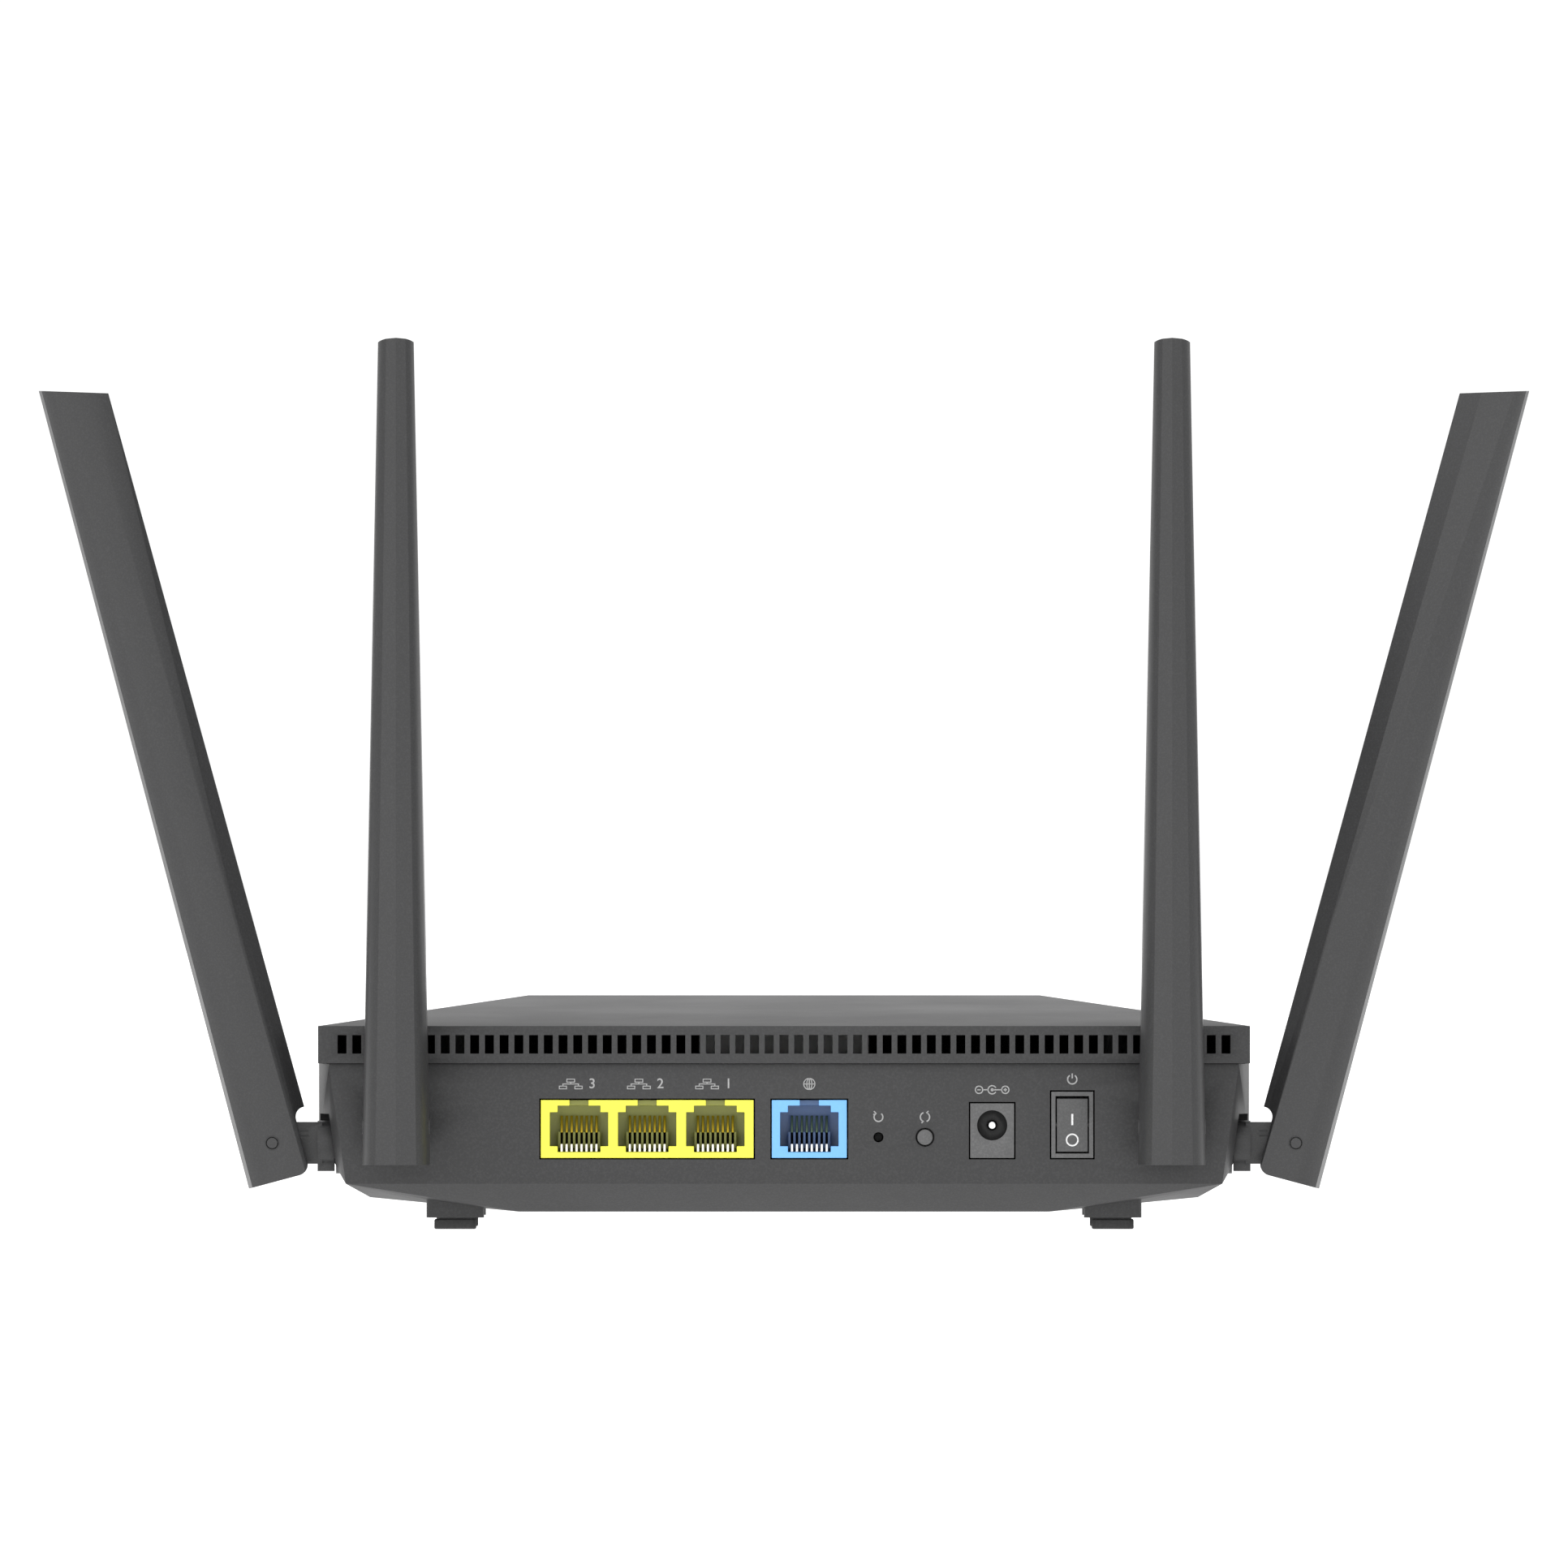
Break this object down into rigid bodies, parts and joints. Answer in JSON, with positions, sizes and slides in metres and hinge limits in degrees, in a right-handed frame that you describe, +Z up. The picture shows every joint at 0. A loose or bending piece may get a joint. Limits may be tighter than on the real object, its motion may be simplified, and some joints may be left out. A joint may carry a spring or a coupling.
{
  "type": "wireless router",
  "caption": "Desktop wireless router: faceted dark case with network sockets, buttons and a rocker switch at the back, and swivelling, folding antennas.",
  "frame": {"origin": "bottom centre of the whole router's box at rest, antennas included, on the surface that the feet stand on", "axes": "+Z up, +X to the right as seen from the front, +Y to the back, where the sockets are"},
  "size_m": [0.3066, 0.1492, 0.183],
  "materials": {
    "case_plastic": "fine satin grain, dark grey",
    "antenna_plastic": "fine satin grain, dark grey",
    "knuckle_plastic": "satin, near black",
    "foot_rubber": "matt, dark grey",
    "screw_steel": "zinc plated",
    "lan_plastic": "smooth, yellow",
    "wan_plastic": "smooth, light blue",
    "contact_gold": "gold plated",
    "control_plastic": "satin, mid grey",
    "pin_steel": "nickel plated",
    "black_plastic": "matt black",
    "board_laminate": "green solder mask",
    "sink_aluminium": "extruded",
    "shield_steel": "tinned sheet",
    "guide_clear": "clear, smooth",
    "lead_grey": "satin jacket"
  },
  "bodies": {
    "housing": {"top_cover": "case_plastic", "bottom_case": "case_plastic", "rubber_foot_rear_right": "foot_rubber", "rubber_foot_rear_left": "foot_rubber", "rubber_foot_front_right": "foot_rubber", "rubber_foot_front_left": "foot_rubber", "case_screw_rear_right": "screw_steel", "case_screw_rear_left": "screw_steel", "case_screw_front_right": "screw_steel", "case_screw_front_left": "screw_steel", "board_screw_right": "screw_steel", "board_screw_left": "screw_steel", "lan_socket_block": "lan_plastic", "wan_socket": "wan_plastic", "lan_1_contacts": "contact_gold", "lan_2_contacts": "contact_gold", "lan_3_contacts": "contact_gold", "wan_contacts": "contact_gold", "dc_socket": "control_plastic", "power_switch_body": "control_plastic", "dc_socket_pin": "pin_steel", "pairing_key_switch": "black_plastic", "reset_key_switch": "black_plastic", "processor": "black_plastic", "radio_chip": "black_plastic", "memory_chip": "black_plastic", "lan_transformer": "black_plastic", "wan_transformer": "black_plastic", "power_capacitor": "black_plastic", "main_board": "board_laminate", "heat_sink": "sink_aluminium", "rf_shield": "shield_steel", "light_guide": "guide_clear", "aerial_lead_rear_right": "lead_grey", "aerial_lead_rear_left": "lead_grey", "aerial_lead_side_right": "lead_grey", "aerial_lead_side_left": "lead_grey"},
    "power_rocker": {"power_rocker": "control_plastic"},
    "pairing_button": {"pairing_button": "control_plastic"},
    "reset_button": {"reset_button": "black_plastic"},
    "knuckle_rear_right": {"antenna_knuckle_rear_right": "knuckle_plastic", "retaining_clip_rear_right": "screw_steel"},
    "antenna_rear_right": {"antenna_sleeve_rear_right": "antenna_plastic", "aerial_strip_rear_right": "board_laminate", "fold_pin_rear_right": "antenna_plastic"},
    "knuckle_rear_left": {"antenna_knuckle_rear_left": "knuckle_plastic", "retaining_clip_rear_left": "screw_steel"},
    "antenna_rear_left": {"antenna_sleeve_rear_left": "antenna_plastic", "aerial_strip_rear_left": "board_laminate", "fold_pin_rear_left": "antenna_plastic"},
    "knuckle_side_right": {"antenna_knuckle_side_right": "knuckle_plastic", "retaining_clip_side_right": "screw_steel"},
    "antenna_side_right": {"antenna_sleeve_side_right": "antenna_plastic", "aerial_strip_side_right": "board_laminate", "fold_pin_side_right": "antenna_plastic"},
    "knuckle_side_left": {"antenna_knuckle_side_left": "knuckle_plastic", "retaining_clip_side_left": "screw_steel"},
    "antenna_side_left": {"antenna_sleeve_side_left": "antenna_plastic", "aerial_strip_side_left": "board_laminate", "fold_pin_side_left": "antenna_plastic"}
  },
  "joints": [
    {"name": "swivel_rear_right", "type": "hinge", "parent": "housing", "child": "knuckle_rear_right", "pos_m": [0.0796, 0.0544, 0.0212], "axis": [0, 1, 0], "range_deg": [-60, 90]},
    {"name": "fold_rear_right", "type": "hinge", "parent": "knuckle_rear_right", "child": "antenna_rear_right", "pos_m": [0.0796, 0.0675, 0.0212], "axis": [-1, 0, 0], "range_deg": [0, 90]},
    {"name": "swivel_rear_left", "type": "hinge", "parent": "housing", "child": "knuckle_rear_left", "pos_m": [-0.0796, 0.0544, 0.0212], "axis": [0, 1, 0], "range_deg": [-90, 60]},
    {"name": "fold_rear_left", "type": "hinge", "parent": "knuckle_rear_left", "child": "antenna_rear_left", "pos_m": [-0.0796, 0.0675, 0.0212], "axis": [-1, 0, 0], "range_deg": [0, 90]},
    {"name": "swivel_side_right", "type": "hinge", "parent": "housing", "child": "knuckle_side_right", "pos_m": [0.0921, 0.0384, 0.0177], "axis": [-1, 0, 0], "range_deg": [-90, 90]},
    {"name": "fold_side_right", "type": "hinge", "parent": "knuckle_side_right", "child": "antenna_side_right", "pos_m": [0.1052, 0.0384, 0.0177], "axis": [0, 1, 0], "range_deg": [-15, 75]},
    {"name": "swivel_side_left", "type": "hinge", "parent": "housing", "child": "knuckle_side_left", "pos_m": [-0.0921, 0.0384, 0.0177], "axis": [-1, 0, 0], "range_deg": [-90, 90]},
    {"name": "fold_side_left", "type": "hinge", "parent": "knuckle_side_left", "child": "antenna_side_left", "pos_m": [-0.1052, 0.0384, 0.0177], "axis": [0, -1, 0], "range_deg": [-15, 75]},
    {"name": "rocker_tilt", "type": "hinge", "parent": "housing", "child": "power_rocker", "pos_m": [-0.0592, 0.0533, 0.0215], "axis": [1, 0, 0], "range_deg": [0, 16]},
    {"name": "pairing_press", "type": "slide", "parent": "housing", "child": "pairing_button", "axis": [0, -1, 0], "range_m": [0, 0.0008], "stiffness_N_per_m": 300, "springref_m": -0.0005},
    {"name": "reset_press", "type": "slide", "parent": "housing", "child": "reset_button", "axis": [0, -1, 0], "range_m": [0, 0.0008], "stiffness_N_per_m": 300, "springref_m": -0.0005}
  ]
}
